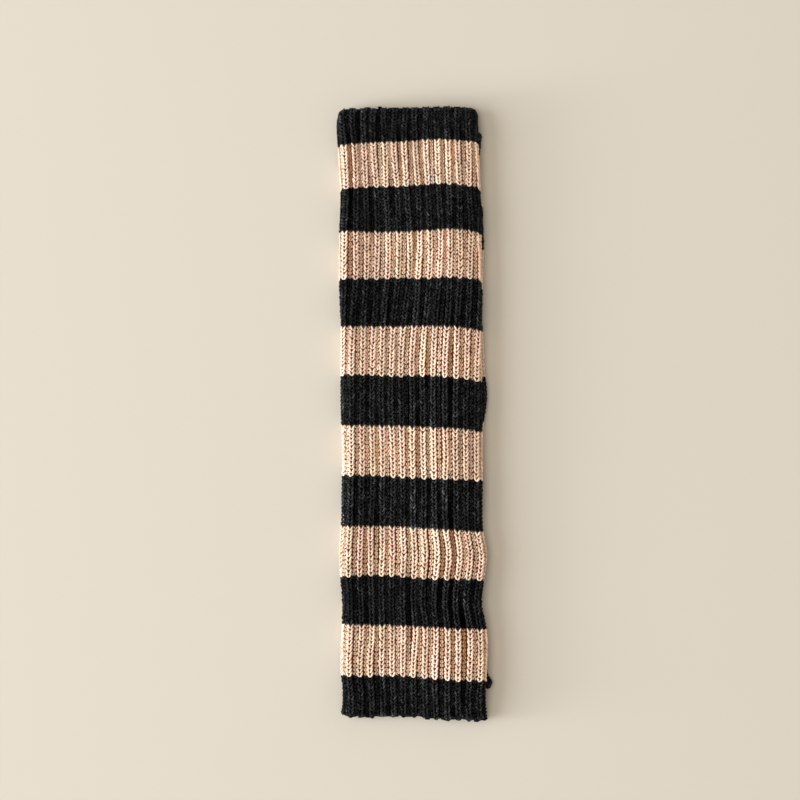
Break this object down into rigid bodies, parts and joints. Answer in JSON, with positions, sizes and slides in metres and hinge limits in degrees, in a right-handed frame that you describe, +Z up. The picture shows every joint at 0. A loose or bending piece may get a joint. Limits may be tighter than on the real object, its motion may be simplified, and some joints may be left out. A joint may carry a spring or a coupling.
{
  "type": "pair of leg warmers",
  "caption": "Pair of striped, rib-knit leg warmers: flat, open-ended knitted tubes, one laid on the other.",
  "frame": {"origin": "on the surface that the pair lies on, under the middle of its box", "axes": "+X across the tubes, +Y along them towards the bind-off ends, +Z up"},
  "size_m": [0.101, 0.4001, 0.0159],
  "materials": {
    "charcoal_yarn": "matt, slightly fuzzy rib-knit yarn, near black",
    "beige_yarn": "matt, slightly fuzzy rib-knit yarn, pale peach beige"
  },
  "bodies": {
    "root": {"upper_leg_warmer": "charcoal_yarn", "lower_leg_warmer": "charcoal_yarn"}
  },
  "joints": []
}
